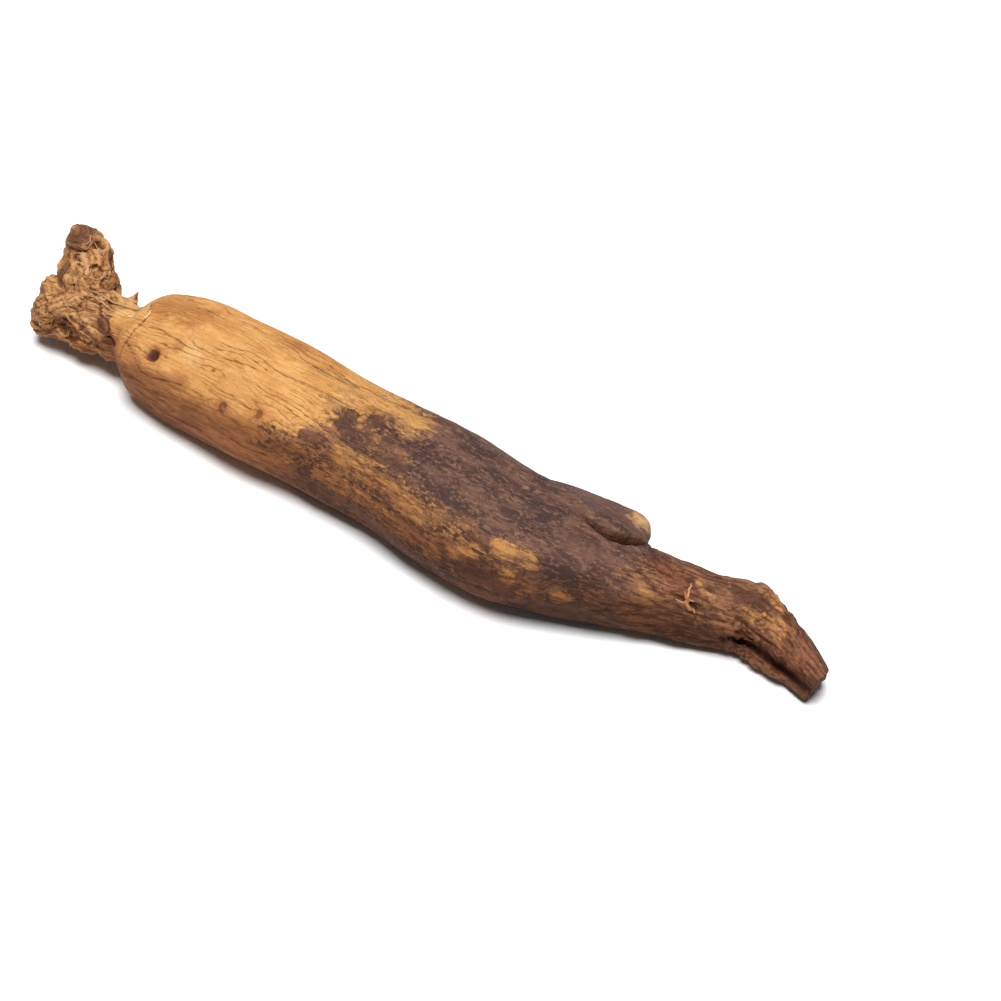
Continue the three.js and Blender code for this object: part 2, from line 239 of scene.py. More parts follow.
# Coloured marks by kind: the points that each runs through, and its half width.
MARKS = {
    "gold": [
        ([(36, 3, 17), (46, 4.2, 16.6), (54.4, 3.2, 17)], 2.6),
        ([(47.7, -6.8, 13.4), (55.3, -7.2, 14.2), (62.7, -8.6, 13.2)], 1.9),
        ([(70.7, -10.2, 11.1), (73, -9.5, 12.3)], 1.5),
        ([(76.6, -7.4, 13.8), (79, -7, 13.6), (81.9, -6.1, 12.8)], 1.4),
        ([(79.2, -8.7, 9.6), (79.3, -8.4, 10.6)], 0.9),
        ([(86, -6, 8.4), (87.4, -5.8, 8)], 1.3),
        ([(44, -8.8, 9.6), (56, -9.4, 9.8), (67, -10.2, 9.8)], 1.8),
        ([(109.9, 7.8, 8.6), (112.6, 7.9, 8.2), (115.2, 7.6, 7.6)], 1.3),
        ([(86.8, 11.4, 11.2), (88.6, 12, 10.4)], 1.2),
        ([(111, 11.4, 8.9), (113, 10.8, 8.6)], 0.8),
        ([(101.4, 6.9, 9.7), (103.3, 6, 9.4), (104.4, 6.2, 9.2)], 0.7),
        ([(95.8, 0.5, 10.6), (98.7, 1.3, 9.4)], 0.65),
    ],
    "pale": [
        ([(16.2, -3.5, 15.6), (17.4, -4.2, 15.4)], 1.7),
        ([(26.2, -8.2, 12.6)], 0.45),
        ([(32.6, -7.2, 14)], 0.35),
        # a painted highlight on the side root's tip
        ([(87.6, 11.4, 10.8), (89.2, 12, 10)], 1.5),
        ([(-1.5, 1.1, 12), (2, 0.8, 13.6)], 2.2),
        ([(-2.2, 3.6, 11.7), (-1.9, 3.8, 13)], 1.2),
    ],
    "rust": [
        ([SHOULDER_PIT], 2.0),
        (SHOULDER_CREASE, 1.4),
        ([(13.2, -3.5, 15.4)], 1.3),
        ([(6, 3, 15.5), (12, 2.5, 16.8)], 3.0),
        ([FLANK_PIT], 1.9),
        ([(32.2, -7.1, 14.2)], 1.5),
        ([(26.4, 5.9, 16.8), (29.5, 6.3, 16.7)], 1.8),
    ],
    "stain": [
        ([(73.7, -10, 9.3), (76.9, -9.5, 9.9), (79.3, -9.1, 7.5)], 2.2),
        ([(45.3, -1.2, 16.5), (45.2, -2.7, 16.2), (49.4, -4.4, 15.8)], 1.5),
        ([(48.8, 0.6, 16.7)], 1.3),
        ([(52.9, -3, 16.3), (57.2, -4.9, 16.1)], 1.7),
        ([(40, -6.6, 14.4), (43.4, -6.4, 14.6)], 0.8),
    ],
    "red": [
        ([SHOULDER_PIT], 1.3),
        ([FLANK_PIT], 1.0),
        ([(95.2, 6.2, 11.3), (101.6, 4.5, 9.6)], 1.7),
        ([(117, 7, 6), (123, 6, 3)], 4.2),
        (SPLIT_FLOOR, 1.5),
    ],
    # Plum is dark purple-brown skin; its marks in the shoulder pit, on the split's floor and along the
    # stem's crease are painted shade in these hollows.
    "plum": [
        ([SHOULDER_PIT], 0.9),
        ([(107.5, 8.8, 9), (110, 9.3, 9)], 1.6),
        (SPLIT_FLOOR, 0.5),
        ([(-15.8, 8.2, 16.5), (-15.7, 6.3, 15.8), (-16.2, 4.9, 14.9)], 1.9),
        ([(-15.3, 2.2, 12.6), (-15.6, 1, 11.2)], 1.1),
        ([(-3.4, -2.2, 11), (-0.9, -4.2, 9.4)], 1.2),
    ],
}

# Loose fibres: the points that each runs through, and its radius.
FIBRES = [
    ([(100.7, 4.3, 9.9), (101.8, 3.5, 9.2), (102.6, 3.4, 8.7), (103.4, 3.4, 7.9)], 0.3),
    ([(100.7, 6.2, 9.9), (101.2, 4.8, 9.8), (101.8, 3.5, 9.2)], 0.2),
    ([(100.4, 2.8, 9.5), (101.6, 3.3, 9.3), (102.6, 4.3, 9.1)], 0.18),
    ([(-10.4, 1.8, 11.2), (-5.6, 0.6, 12.6), (-2.8, 1.3, 11.8), (1, 1.4, 13)], 0.2),
    ([(-9.6, 0.8, 11.4), (-5.4, -0.4, 12.3), (-2.2, -0.2, 11.9)], 0.16),
    ([(-13.2, -3.8, 9.1), (-11.1, -2.7, 11), (-10, -1.4, 11.5), (-8.6, -0.8, 11.8)], 0.22),
]
FIBRE_TONE = 0.3  # how pale they are at most
FIBRE_SIDES = 6
FIBRE_STATIONS = 16
FIBRE_LIFT = 0.5  # of its middle off the skin, in radii
FIBRE_ENDS = 0.25  # the least radius, as a share
TAPER_START = 0.12  # the half wave of its taper starts here
TAPER_RUN = 0.76  # and runs on for this share
# Dry scales: the foot of each, a point that its tip leans to, its length, its width and how pale it is.
FLAKES = [
    ((-11.6, 3.6, 13.2), (-14, 5.8, 15.6), 3.8, 2.8, 0.25),
    ((-2.6, 3, 12), (-1.8, 3.9, 13.2), 1.7, 1.5, 0.25),
    ((4.3, 0.5, 15.2), (4.9, -1.6, 14.9), 2.1, 0.9, 0.85),
    ((1.4, 0.2, 12.8), (1, -1, 12.4), 1.5, 0.8, 0.85),
]
FLAKE_RISE = 0.16  # of the tip off the skin, as a share of the length
FLAKE_STATIONS = 7
FLAKE_THICKNESS = 0.12  # half of it
FLAKE_FOOT = 0.25  # where on half a wave its outline starts
FLAKE_POINT = 0.06  # the least width, as a share
FLAKE_FULLNESS = 0.7  # rounds its outline
FLAKE_CURL = 1.5  # keeps the foot down while the tip rises
FLAKE_SINK = 0.06  # how deep its foot lies in the skin
FLAKE_DROOP = 0.3  # of its edges, as a share of half its width
# More of both, strewn over the crown.
LOOSE_SEED = 7
STREWN_END = -5.0  # X where they end
STREWN_FLOOR = 1.0  # the height above which they lie
STREWN_FLAKES = SimpleNamespace(
    count=36, lean=(-0.8, 0.3, 0.4), tone=0.4, length=(1.0, 2.2), width=(0.6, 1.2), lift=(0.03, 0.12),
)
STREWN_FIBRES = SimpleNamespace(
    count=80, heading=(1.0, -0.3, 0.0), spread=0.5, bends=3, bend=0.35, step=(0.6, 1.3), tone=0.35,
    radius=(0.06, 0.13), stations=10,
)

# Masks torn by noise: the weights of noise and mask, and the sums at which colour starts and is whole.
TEAR_NOISE = 0.95
TEAR_MASK = 1.3
TEAR_EDGE = (1.0, 1.16)
TORN_PATCHES = 0.55  # their share in a ragged mask
TORN_SPECKS = 0.45  # and theirs
WORN_STREAKS = 0.76  # how far a worn, streaky mask reaches
RED_SHADE = (0.45, 0.45, 0.45)
# The colour that the painted shade of the flanks multiplies by.
FLANK_PAINTED_SHADE = (0.48, 0.4, 0.31)
GRAIN_HEIGHT = 0.35  # of the finest grain, which is bump
GRAIN_STRENGTH = 0.9

NOISE_CELLS = 256
NOISE_GAIN = 1.5  # brings the noise to about -1 to 1


def smoothstep(low, high, value):
    """From 0 at the low value to 1 at the high one."""
    share = np.clip((value - low) / (high - low), 0.0, 1.0)
    return share * share * (3.0 - 2.0 * share)


def bell(distance, half_width):
    """From 1 at no distance down to 0 far away."""
    return np.exp(-((distance / half_width) ** 2))


def cell_numbers(order, cell):
    """A shuffled number for each cell of space."""
    number = order[cell[:, 0] % NOISE_CELLS]
    for axis in (1, 2):
        number = order[(number + cell[:, axis]) % NOISE_CELLS]
    return number


def noise(points, seed):
    """Smooth noise, about -1 to 1, of points measured in wavelengths."""
    draw = np.random.RandomState(seed)
    order = draw.permutation(NOISE_CELLS)
    slopes = draw.normal(size=(NOISE_CELLS, 3))
    slopes /= np.linalg.norm(slopes, axis=1, keepdims=True)
    cell = np.floor(points).astype(int)
    inside = points - cell
    fade = inside**3 * (inside * (inside * 6.0 - 15.0) + 10.0)
    total = np.zeros(len(points))
    for corner in np.ndindex(2, 2, 2):
        number = cell_numbers(order, cell + corner)
        weight = np.prod(np.where(corner, fade, 1.0 - fade), axis=1)
        total += weight * np.einsum("ij,ij->i", slopes[number], inside - corner)
    return NOISE_GAIN * total


def plates(points, seed):
    """Each point's place in its plate, in plate widths, its nearness to a seam and the plate's number."""
    draw = np.random.RandomState(seed)
    order = draw.permutation(NOISE_CELLS)
    middles = draw.rand(NOISE_CELLS, 3)
    own_cell = np.floor(points).astype(int)
    nearest = np.full(len(points), np.inf)
    second = np.full(len(points), np.inf)
    place = np.zeros_like(points)
    nearest_number = np.zeros(len(points), dtype=int)
    for step in np.ndindex(3, 3, 3):
        cell = own_cell + np.array(step) - 1
        number = cell_numbers(order, cell)
        offset = points - cell - middles[number]
        gap = np.linalg.norm(offset, axis=1)
        closer = gap < nearest
        second = np.where(closer, nearest, np.minimum(second, gap))
        nearest = np.where(closer, gap, nearest)
        place = np.where(closer[:, None], offset, place)
        nearest_number = np.where(closer, number, nearest_number)
    return place, bell(second - nearest, SEAM_WIDTH), nearest_number


def in_waves(grain, waves):
    """Places in the grain measured in waves of these lengths along it and across it."""
    along, across = waves
    return grain / (along, across, across)


def grained(grain, waves, seed):
    """Noise that is drawn out along the grain."""
    return noise(in_waves(grain, waves), seed)


def swells(grain, relief):
    """Rounded rises and dips."""
    return relief.height * grained(grain, relief.waves, relief.seed)


def furrows(grain, relief):
    """Rounded rises with sharp furrows between them."""
    return relief.height * (np.abs(grained(grain, relief.waves, relief.seed)) - RIDGE_LEVEL)


def crests(grain, relief):
    """Narrow crests with flat ground between them."""
    gap = np.abs(grained(grain, relief.waves, relief.seed))
    return relief.height * ((1.0 - np.minimum(1.0, CREST_SHARPNESS * gap)) ** 2 - CREST_LEVEL)


def wrinkle_lines(grain, lines):
    """How far the wrinkles are bent, and the distance to the nearest one, both in spacings."""
    waves = in_waves(grain, lines.waves)
    bend = np.zeros(len(grain))
    for octave, (fineness, strength) in enumerate(BEND_OCTAVES):
        bend += strength * noise(fineness * waves, lines.seed + octave)
    bend = lines.bend * bend
    turns = np.arctan2(grain[:, 2], grain[:, 1]) * lines.count / (2 * math.pi) + bend
    return bend, np.abs(turns - np.round(turns))


def offset_from(points, start, end):
    """The place of a straight run nearest to each point, as a share of the run, and the offset from it."""
    run = end - start
    share = np.clip((points - start) @ run / (run @ run), 0.0, 1.0)
    return share, points - start - share[:, None] * run


def distance_to(points, line):
    """Distance from each point to a line through the given places, or to a single place."""
    places = np.array(line, dtype=float)
    nearest = np.linalg.norm(points - places[0], axis=1)
    for start, end in zip(places[:-1], places[1:]):
        _, offset = offset_from(points, start, end)
        nearest = np.minimum(nearest, np.linalg.norm(offset, axis=1))
    return nearest


def near(points, line, edge):
    """1 near a line, and 0 beyond the edge."""
    return 1.0 - smoothstep(*edge, distance_to(points, line))


def along_line(points, line):
    """Each point's place along a line, sideways from it and above it, and its distance to the line."""
    places = np.array(line, dtype=float)
    starts = np.concatenate(([0.0], np.cumsum(np.linalg.norm(np.diff(places, axis=0), axis=1))))
    nearest = np.full(len(points), np.inf)
    framed = np.zeros((len(points), 3))
    for start, end, begun in zip(places[:-1], places[1:], starts):
        share, offset = offset_from(points, start, end)
        gap = np.linalg.norm(offset, axis=1)
        closer = gap < nearest
        nearest = np.where(closer, gap, nearest)
        run = end - start
        length = np.linalg.norm(run)
        forward = run / length
        sideways = np.cross((0, 0, 1), forward)
        sideways /= np.linalg.norm(sideways)
        upward = np.cross(forward, sideways)
        place = np.stack((begun + share * length, offset @ sideways, offset @ upward), axis=1)
        framed = np.where(closer[:, None], place, framed)
    return framed, nearest


def places_of(mesh):
    flat = np.empty(3 * len(mesh.vertices))
    mesh.vertices.foreach_get("co", flat)
    return flat.reshape(-1, 3)


def move_to(mesh, places):
    mesh.vertices.foreach_set("co", places.ravel())
    mesh.update()


def in_metres(places):
    """Places of the drawing in the row frame."""
    return (places + NECK) * MM


def add_object(name, data):
    made = bpy.data.objects.new(name, data)
    bpy.context.scene.collection.objects.link(made)
    return made


class Surface:
    """A mesh as arrays, in the drawing's millimetres, that can be smoothed and raised."""

    def __init__(self, mesh):
        self.mesh = mesh
        self.points = places_of(mesh)
        ends = np.empty(2 * len(mesh.edges), dtype=int)
        mesh.edges.foreach_get("vertices", ends)
        self.ends = ends.reshape(-1, 2)
        self.neighbours = np.bincount(ends, minlength=len(self.points))

    def around(self, values):
        """The mean of each vertex's neighbours."""
        count = len(self.points)
        sums = []
        for column in values.reshape(count, -1).T:
            total = np.zeros(count)
            for here, there in (self.ends.T, self.ends.T[::-1]):
                total += np.bincount(here, weights=column[there], minlength=count)
            sums.append(total)
        return (np.stack(sums, axis=1) / self.neighbours[:, None]).reshape(values.shape)

    def smooth(self, passes, share):
        for _ in range(passes):
            self.points += share * (self.around(self.points) - self.points)

    def normals(self):
        move_to(self.mesh, self.points)
        flat = np.empty(3 * len(self.points))
        self.mesh.vertex_normals.foreach_get("vector", flat)
        return flat.reshape(-1, 3)

    def raise_by(self, height):
        self.points += self.normals() * height[:, None]

    def hollowness(self, passes):
        """How far each vertex lies below its surroundings."""
        level = self.points
        for _ in range(passes):
            level = self.around(level)
        return np.einsum("ij,ij->i", level - self.points, self.normals())


def with_even_faces(mesh):
    """The mesh made anew with faces of one size. The given one is removed."""
    holder = add_object("holder", mesh)
    remesh = holder.modifiers.new("even_faces", "REMESH")
    remesh.mode = "VOXEL"
    remesh.voxel_size = SKIN_STEP
    evaluated = holder.evaluated_get(bpy.context.evaluated_depsgraph_get())
    even = bpy.data.meshes.new_from_object(evaluated)
    bpy.data.objects.remove(holder)
    bpy.data.meshes.remove(mesh)
    return even


def halve_fine_faces(mesh):
    """Makes the faces finer on the crown and the knee."""
    work = bmesh.new()
    work.from_mesh(mesh)
    fine = {v for v in work.verts if v.co.x < CROWN_END or KNEE[0] < v.co.x < KNEE[1]}
    fine_edges = [e for e in work.edges if fine.issuperset(e.verts)]
    bmesh.ops.subdivide_edges(work, edges=fine_edges, cuts=1, use_grid_fill=True)
    work.to_mesh(mesh)
    work.free()


def remeshed_copy(node):
    """The solid's mesh in the drawing's millimetres, with even faces, finer on crown and knee."""
    copy = node.data.copy()
    copy.transform(node.matrix_world)
    move_to(copy, places_of(copy) / MM - NECK)
    mesh = with_even_faces(copy)
    halve_fine_faces(mesh)
    return mesh


def round_facets(surface, crisp):
    """Smooths the solid's facets away, less so where the skin stays crisp."""
    surface.smooth(CRISP_PASSES, SMOOTH_SHARE)
    sharp = surface.points.copy()
    surface.smooth(SMOOTH_PASSES, SMOOTH_SHARE)
    surface.points += crisp[:, None] * (sharp - surface.points)


def crisp_places(drawn, crown):
    """The crown, the cut end and the clefts."""
    tip = smoothstep(*TIP, drawn[:, 0])
    to_cleft = np.minimum(distance_to(drawn, SIDE_ROOT_CLEFT), distance_to(drawn, SPLIT))
    cleft = 1.0 - smoothstep(*CLEFT_EDGE, to_cleft)
    return np.maximum(np.maximum(crown, tip), cleft)


def skin_zones(drawn, grain, crown):
    """How far each kind of skin covers each point."""
    x, y, _ = drawn.T
    bark_start = BARK_START + BARK_SLANT * (y - BARK_LEVEL) + swells(grain, BARK_WAVES)
    behind_front = smoothstep(*BLOOM_FRONT, y + BLOOM_TURN * (x - BLOOM_PIVOT))
    return {
        "crown": crown,
        "leg": smoothstep(*LEG_EDGE, x - LEG_SLANT * y),
        "bark": smoothstep(*BARK_EDGE, x - bark_start),
        "bloom": smoothstep(*BLOOM_EDGE, x + BLOOM_SLANT * y) * behind_front,
    }


def painted_flank_shade(points, facing_up, side_root, crown):
    """Painted shade where the skin turns down, less so on the side root, the split strand and the crown."""
    belly = BELLY_SHADE + (1.0 - BELLY_SHADE) * smoothstep(*BELLY_EDGE, facing_up)
    flank = (1.0 - smoothstep(*FLANK_EDGE, facing_up)) * belly
    strand = near(points, SPLIT_STRAND, STRAND_EDGE)
    spared = np.maximum(np.maximum(side_root, strand), SPARED_CROWN * crown)
    return flank * (1.0 - SPARED_SHADE * spared)


def lay_wrinkles(grain, zones):
    """The depths of long and short wrinkles. Their places go to the zones, for their ink."""
    calm = 1.0 - BLOOM_CALM * zones["bloom"]
    depths = []
    for name, lines in WRINKLES.items():
        bend, gap = wrinkle_lines(grain, lines)
        here = calm * smoothstep(*PATCH_EDGE, grained(grain, lines.patches, lines.patch_seed))
        zones[name + "_bend"] = bend
        zones[name + "_here"] = here
        depths.append(here * (1.0 - smoothstep(0.0, lines.half_width, gap)))
    return depths


def raise_wrinkles(surface, grain, zones):
    """The skin of body, side root and leg: wrinkles, scabs, fibrous furrows, and crumbs on the knee."""
    x = surface.points[:, 0]
    leg = zones["leg"]
    long, short = lay_wrinkles(grain, zones)
    scabs = smoothstep(*SCAB_EDGE, grained(grain, SCABS.waves, SCABS.seed)) * zones["bark"]
    height = swells(grain, LUMPS)
    height -= (WRINKLES["long"].depth + LEG_WRINKLE_DEPTH * leg) * long
    height -= WRINKLES["short"].depth * short
    height += SCABS.height * scabs
    zones["knee"] = smoothstep(*KNEE_START, x) * (1.0 - smoothstep(*KNEE_END, x))
    crumbly = furrows(grain, CROSS_FOLDS) + furrows(grain, CRUMBS)
    fibrous = furrows(grain, FURROWS) + furrows(grain, RIBS) + LEG_SCAB_HEIGHT * scabs
    blunt = 1.0 - TIP_CALM * smoothstep(*TIP, x)
    height += blunt * leg * fibrous + zones["knee"] * crumbly
    surface.raise_by((1.0 - zones["crown"]) * height)


def tilted_plates(grain, kind):
    """Plates of skin, each leaning its own way, their seams, and a tone for each."""
    place, seam, number = plates(in_waves(grain, kind.waves), kind.seed)
    draw = np.random.RandomState(kind.seed + LEAN_SEED)
    lean = draw.normal(size=(NOISE_CELLS, 3))
    tone = draw.rand(NOISE_CELLS)
    return np.einsum("ij,ij->i", place, lean[number]), seam, tone[number]


def crown_grain(points):
    """The crown's grain runs along its stem and its lobe, and wanders."""
    stem, stem_gap = along_line(points, CROWN_LINE)
    lobe, lobe_gap = along_line(points, LOBE_LINE)
    grain = np.where((lobe_gap < stem_gap)[:, None], lobe + LOBE_SHIFT, stem)
    wander = np.stack([noise(points / WANDER_WAVES, seed) for seed in WANDER_SEEDS], axis=1)
    return grain + CROWN_WANDER * wander


def raise_scales(surface, crown):
    """The crown's crumpled skin of folds, plates, fibres and grit. Returns a tone for each plate."""
    grain = crown_grain(surface.points.copy())
    height = furrows(grain, CROWN_FOLDS)
    tones = np.zeros(len(grain))
    for kind in CROWN_PLATES:
        lean, seam, tone = tilted_plates(grain, kind)
        height += kind.lean * lean
        height -= kind.seam * seam
        tones += kind.tone * tone
    height += crests(grain, CROWN_FIBRES)
    height += swells(grain, CROWN_GRIT)
    surface.raise_by(crown * height)
    surface.smooth(1, CROWN_SMOOTHING)
    return tones


def press_marks(surface):
    """Creases, raised folds and pits."""
    points = surface.points.copy()
    dent = np.zeros(len(points))
    for line, half_width, depth in CREASES:
        dent += depth * bell(distance_to(points, line), half_width)
    for line, half_width, height in FOLDS:
        dent -= height * bell(distance_to(points, line), half_width)
    for middle, radius, depth in PITS:
        gap = distance_to(points, [middle]) / radius
        dent += depth * np.exp(-(gap**4)) - RIM_HEIGHT * depth * bell(gap - RIM_PLACE, RIM_WIDTH)
    surface.raise_by(-dent)


def colour_marks(points):
    """How far each kind of mark covers each point."""
    covers = {}
    for kind, marks in MARKS.items():
        covers[kind] = np.zeros(len(points))
        for line, half_width in marks:
            covers[kind] = np.maximum(covers[kind], bell(distance_to(points, line), half_width))
    return covers


def shape_skin(surface):
    """Raises the skin's relief, and returns the grain and the masks that colour it."""
    drawn = surface.points.copy()
    crown = 1.0 - smoothstep(*CROWN_EDGE, drawn[:, 0] + CROWN_SLANT * (drawn[:, 2] - CROWN_LEVEL))
    round_facets(surface, crisp_places(drawn, crown))

    points = surface.points.copy()
    facing_up = surface.normals()[:, 2]
    grain, _ = along_line(points, BODY_LINE)
    zones = skin_zones(drawn, grain, crown)
    zones["side_root"] = near(points, SIDE_ROOT_LINE, SIDE_ROOT_EDGE)
    # Painted shade on the flanks, darker where the skin turns down.
    zones["under"] = painted_flank_shade(points, facing_up, zones["side_root"], crown)
    raise_wrinkles(surface, grain, zones)
    zones["scale"] = raise_scales(surface, crown)
    press_marks(surface)
    surface.points[:, 2] = np.maximum(surface.points[:, 2], 0.0)

    zones.update(colour_marks(points))
    # The painted shade of hollows is spared on the side root and the split's floor.
    spared = np.maximum(zones["side_root"], near(points, SPLIT_FLOOR, SPLIT_FLOOR_EDGE))
    for name, (passes, share) in PAINTED_HOLLOW_SHADE.items():
        zones[name] = surface.hollowness(passes) * (1.0 - share * spared)
    return grain, zones


def chain(points, count):
    """Points spread evenly along a smooth curve through the given ones."""
    places = [np.array(p, dtype=float) for p in points]
    places = [2 * places[0] - places[1]] + places + [2 * places[-1] - places[-2]]
    spans = len(places) - 3
    curve = []
    for share in np.linspace(0.0, spans - 1e-9, count):
        k = int(share)
        t = share - k
        a, b, c, d = places[k:k + 4]
        square = (2 * a - 5 * b + 4 * c - d) * t**2
        cube = (3 * b - a - 3 * c + d) * t**3
        curve.append(0.5 * (2 * b + (c - a) * t + square + cube))
    return curve


def join_rings(work, rings, tone):
    """Faces between the rings and over both ends, all of one tone."""
    layer = work.verts.layers.float["tone"]
    for ring in rings:
        for vertex in ring:
            vertex[layer] = tone
    sides = len(rings[0])
    for ring, following in zip(rings[:-1], rings[1:]):
        for i in range(sides):
            j = (i + 1) % sides
            work.faces.new((ring[i], ring[j], following[j], following[i]))
    work.faces.new(rings[0][::-1])
    work.faces.new(rings[-1])


def add_fibre(work, skin, tone, line, radius, stations):
    """A tapering fibre that lies on the skin."""
    curve = []
    for place in chain(line, stations):
        on_skin, normal, _, _ = skin.find_nearest(Vector(place))
        curve.append((on_skin + normal * radius * FIBRE_LIFT, normal))
    last = len(curve) - 1
    rings = []
    for k, (place, normal) in enumerate(curve):
        taper = math.sin(math.pi * (TAPER_START + TAPER_RUN * (k / last)))
        thick = radius * (FIBRE_ENDS + (1.0 - FIBRE_ENDS) * taper)
        forward = (curve[min(k + 1, last)][0] - curve[max(k - 1, 0)][0]).normalized()
        side = forward.cross(normal).normalized()
        ring = []
        for i in range(FIBRE_SIDES):
            angle = 2 * math.pi * i / FIBRE_SIDES
            across = side * thick * math.cos(angle)
            outward = normal * thick * math.sin(angle)
            ring.append(work.verts.new(place + across + outward))
        rings.append(ring)
    join_rings(work, rings, tone)


def add_flake(work, skin, tone, foot, towards, length, width, lift):
    """A dry pointed scale that stands off the skin at its tip."""
    on_skin, normal, _, _ = skin.find_nearest(Vector(foot))
    forward = Vector(towards) - Vector(foot)
    forward = (forward - normal * forward.dot(normal)).normalized()
    side = forward.cross(normal)
    rings = []
    for k in range(FLAKE_STATIONS):
        share = k / (FLAKE_STATIONS - 1)
        outline = math.sin(math.pi * min(1.0, FLAKE_FOOT + (1.0 - FLAKE_FOOT) * share))
        half = 0.5 * width * max(FLAKE_POINT, outline**FLAKE_FULLNESS)
        middle, outward, _, _ = skin.find_nearest(on_skin + forward * length * share)
        middle = middle + outward * (lift * share**FLAKE_CURL - FLAKE_SINK)
        droop = FLAKE_DROOP * half
        rings.append([
            work.verts.new(middle + side * half - outward * droop),
            work.verts.new(middle + outward * FLAKE_THICKNESS),
            work.verts.new(middle - side * half - outward * droop),
            work.verts.new(middle - outward * FLAKE_THICKNESS),
        ])
    join_rings(work, rings, tone)


def strew_flakes(work, skin, places, draw):
    strewn = STREWN_FLAKES
    for _ in range(strewn.count):
        foot = places[draw.randint(len(places))]
        towards = foot + Vector(draw.normal(size=3)) + Vector(strewn.lean)
        tone = strewn.tone * draw.rand()
        length = draw.uniform(*strewn.length)
        width = draw.uniform(*strewn.width)
        lift = draw.uniform(*strewn.lift)
        add_flake(work, skin, tone, foot, towards, length, width, lift)


def strew_fibres(work, skin, places, draw):
    strewn = STREWN_FIBRES
    for _ in range(strewn.count):
        line = [np.array(places[draw.randint(len(places))])]
        heading = np.array(strewn.heading) + strewn.spread * draw.normal(size=3)
        for _ in range(strewn.bends):
            heading = heading + strewn.bend * draw.normal(size=3)
            line.append(line[-1] + draw.uniform(*strewn.step) * heading / np.linalg.norm(heading))
        tone = strewn.tone * draw.rand()
        radius = draw.uniform(*strewn.radius)
        add_fibre(work, skin, tone, line, radius, strewn.stations)


def loose_mesh(skin_mesh):
    """Dry scales and loose fibres that lie on the finished skin."""
    work = bmesh.new()
    work.from_mesh(skin_mesh)
    skin = BVHTree.FromBMesh(work)
    crown = [v.co.copy() for v in work.verts if v.co.x < STREWN_END and v.co.z > STREWN_FLOOR]
    work.free()
    work = bmesh.new()
    work.verts.layers.float.new("tone")
    draw = np.random.RandomState(LOOSE_SEED)
    for line, radius in FIBRES:
        add_fibre(work, skin, FIBRE_TONE * draw.rand(), line, radius, FIBRE_STATIONS)
    for foot, towards, length, width, tone in FLAKES:
        add_flake(work, skin, tone, foot, towards, length, width, FLAKE_RISE * length)
    strew_flakes(work, skin, crown, draw)
    strew_fibres(work, skin, crown, draw)
    bmesh.ops.recalc_face_normals(work, faces=work.faces)
    mesh = bpy.data.meshes.new("scales_and_fibres")
    work.to_mesh(mesh)
    work.free()
    return mesh


def build_loose_pieces(skin_mesh):
    mesh = loose_mesh(skin_mesh)
    places = places_of(mesh)
    places[:, 2] = np.maximum(places[:, 2], 0.0)
    move_to(mesh, in_metres(places))
    mesh.shade_smooth()
    mesh.materials.append(fibre_skin())
    loose = add_object("scales_and_fibres", mesh)
    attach(loose, "root")


def linear(red, green, blue):
    """A colour given as it looks on a screen, 0 to 255, as linear light."""
    shares = [channel / 255 for channel in (red, green, blue)]
    return tuple(s / 12.92 if s <= 0.04045 else ((s + 0.055) / 1.055) ** 2.4 for s in shares) + (1.0,)


